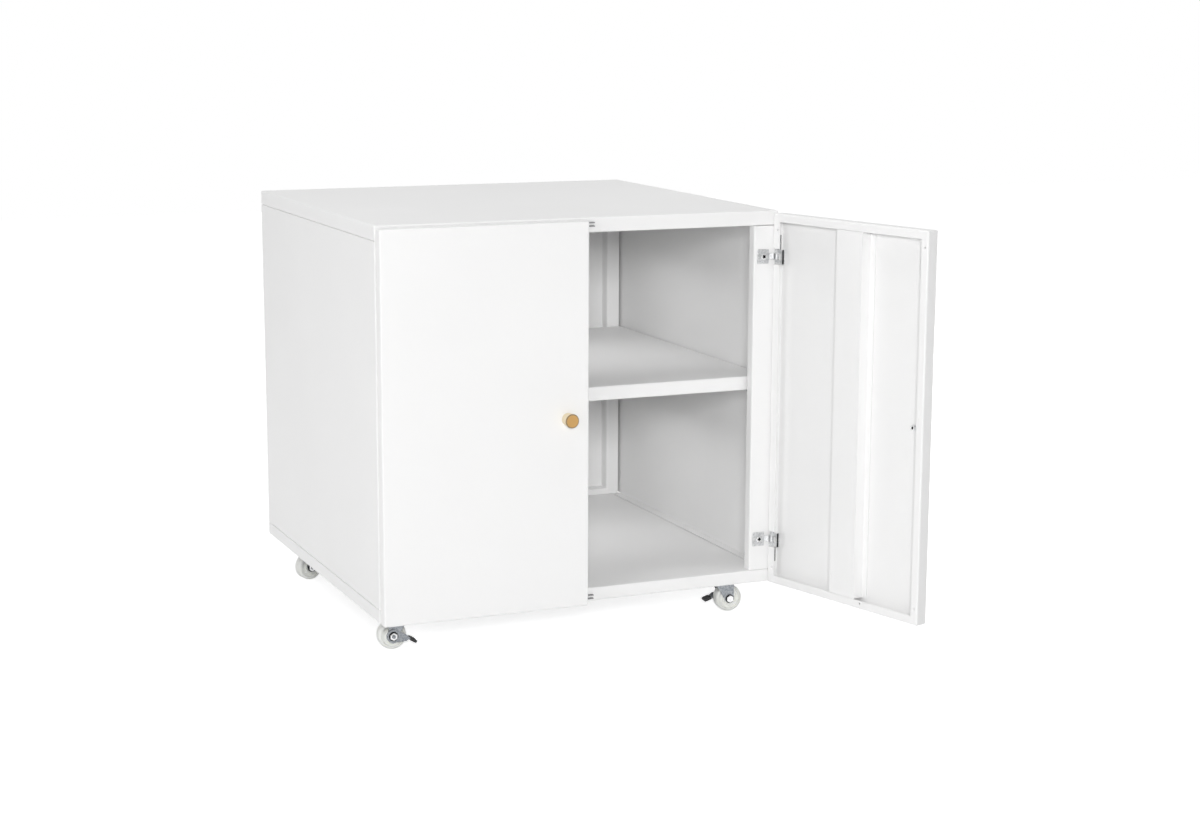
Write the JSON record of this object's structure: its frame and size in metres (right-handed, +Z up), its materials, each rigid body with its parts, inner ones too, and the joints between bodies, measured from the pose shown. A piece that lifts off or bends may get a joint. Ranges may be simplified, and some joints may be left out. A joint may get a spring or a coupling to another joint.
{
  "type": "mobile file cabinet",
  "caption": "Low steel office cabinet on swivel casters, with hinged doors, a lift-off shelf, turned knobs, magnetic catches and brakes on the front casters.",
  "frame": {"origin": "on the floor, under the middle of the carcass (not counting the doors)", "axes": "+Z up, +Y to the cabinet's back, +X to the right as seen from the front"},
  "size_m": [0.6972, 0.8573, 0.599],
  "materials": {
    "white_coat": "white powder coat, fine satin",
    "zinc": "bright zinc plate",
    "pole_steel": "dark bare steel",
    "knob_wood": "clear lacquer",
    "nylon": "white moulded nylon",
    "black_plastic": "ribbed black plastic"
  },
  "bodies": {
    "carcass": {"top_panel": "white_coat", "base_panel": "white_coat", "left_side_panel": "white_coat", "right_side_panel": "white_coat", "back_panel": "white_coat", "front_caster_rail": "zinc", "rear_caster_rail": "zinc", "front_left_shelf_clip": "zinc", "front_right_shelf_clip": "zinc", "rear_left_shelf_clip": "zinc", "rear_right_shelf_clip": "zinc", "upper_magnetic_catch": "pole_steel", "lower_magnetic_catch": "pole_steel", "left_upper_frame_leaf": "zinc", "left_upper_hinge_pin": "zinc", "left_upper_hinge_screw": "zinc", "left_lower_frame_leaf": "zinc", "left_lower_hinge_pin": "zinc", "left_lower_hinge_screw": "zinc", "right_upper_frame_leaf": "zinc", "right_upper_hinge_pin": "zinc", "right_upper_hinge_screw": "zinc", "right_lower_frame_leaf": "zinc", "right_lower_hinge_pin": "zinc", "right_lower_hinge_screw": "zinc", "front_left_caster_plate": "zinc", "front_right_caster_plate": "zinc", "rear_left_caster_plate": "zinc", "rear_right_caster_plate": "zinc"},
    "lift_shelf": {"shelf": "white_coat"},
    "left_door_set": {"left_door": "white_coat", "left_door_stiffener": "white_coat", "left_knob": "knob_wood", "left_knob_screw": "zinc", "left_upper_door_leaf": "zinc", "left_lower_door_leaf": "zinc"},
    "right_door_set": {"right_door": "white_coat", "right_door_stiffener": "white_coat", "right_knob": "knob_wood", "right_knob_screw": "zinc", "right_upper_door_leaf": "zinc", "right_lower_door_leaf": "zinc"},
    "front_left_swivel": {"front_left_fork": "zinc", "front_left_axle": "zinc"},
    "front_left_roller": {"front_left_wheel": "nylon"},
    "front_left_pedal": {"front_left_brake_lever": "zinc", "front_left_brake_pad": "black_plastic"},
    "front_right_swivel": {"front_right_fork": "zinc", "front_right_axle": "zinc"},
    "front_right_roller": {"front_right_wheel": "nylon"},
    "front_right_pedal": {"front_right_brake_lever": "zinc", "front_right_brake_pad": "black_plastic"},
    "rear_left_swivel": {"rear_left_fork": "zinc", "rear_left_axle": "zinc"},
    "rear_left_roller": {"rear_left_wheel": "nylon"},
    "rear_right_swivel": {"rear_right_fork": "zinc", "rear_right_axle": "zinc"},
    "rear_right_roller": {"rear_right_wheel": "nylon"}
  },
  "joints": [
    {"name": "left_door_hinge", "type": "hinge", "parent": "carcass", "child": "left_door_set", "pos_m": [-0.295, -0.29, 0.328], "axis": [0, 0, -1], "range_deg": [0, 110]},
    {"name": "right_door_hinge", "type": "hinge", "parent": "carcass", "child": "right_door_set", "pos_m": [0.295, -0.29, 0.328], "axis": [0, 0, 1], "range_deg": [-105, 5]},
    {"name": "shelf_lift", "type": "slide", "parent": "carcass", "child": "lift_shelf", "axis": [0, 0, 1], "range_m": [0, 0.1]},
    {"name": "front_left_swivel_turn", "type": "hinge", "parent": "carcass", "child": "front_left_swivel", "pos_m": [-0.243, -0.214, 0.04], "axis": [0, 0, 1], "continuous": true},
    {"name": "front_left_wheel_spin", "type": "hinge", "parent": "front_left_swivel", "child": "front_left_roller", "pos_m": [-0.26096, -0.21274, 0.02], "axis": [-0.0698, -0.9976, 0], "continuous": true},
    {"name": "front_left_pedal_tip", "type": "hinge", "parent": "front_left_swivel", "child": "front_left_pedal", "pos_m": [-0.26096, -0.21274, 0.02], "axis": [-0.0698, -0.9976, 0], "range_deg": [0, 12]},
    {"name": "front_right_swivel_turn", "type": "hinge", "parent": "carcass", "child": "front_right_swivel", "pos_m": [0.243, -0.214, 0.04], "axis": [0, 0, 1], "continuous": true},
    {"name": "front_right_wheel_spin", "type": "hinge", "parent": "front_right_swivel", "child": "front_right_roller", "pos_m": [0.2609, -0.21588, 0.02], "axis": [0.1045, 0.9945, 0], "continuous": true},
    {"name": "front_right_pedal_tip", "type": "hinge", "parent": "front_right_swivel", "child": "front_right_pedal", "pos_m": [0.2609, -0.21588, 0.02], "axis": [0.1045, 0.9945, 0], "range_deg": [-12, 0]},
    {"name": "rear_left_swivel_turn", "type": "hinge", "parent": "carcass", "child": "rear_left_swivel", "pos_m": [-0.243, 0.201, 0.04], "axis": [0, 0, 1], "continuous": true},
    {"name": "rear_left_wheel_spin", "type": "hinge", "parent": "rear_left_swivel", "child": "rear_left_roller", "pos_m": [-0.26073, 0.19787, 0.02], "axis": [0.1736, -0.9848, 0], "continuous": true},
    {"name": "rear_right_swivel_turn", "type": "hinge", "parent": "carcass", "child": "rear_right_swivel", "pos_m": [0.243, 0.201, 0.04], "axis": [0, 0, 1], "continuous": true},
    {"name": "rear_right_wheel_spin", "type": "hinge", "parent": "rear_right_swivel", "child": "rear_right_roller", "pos_m": [0.25969, 0.19426, 0.02], "axis": [0.3746, 0.9272, 0], "continuous": true}
  ]
}
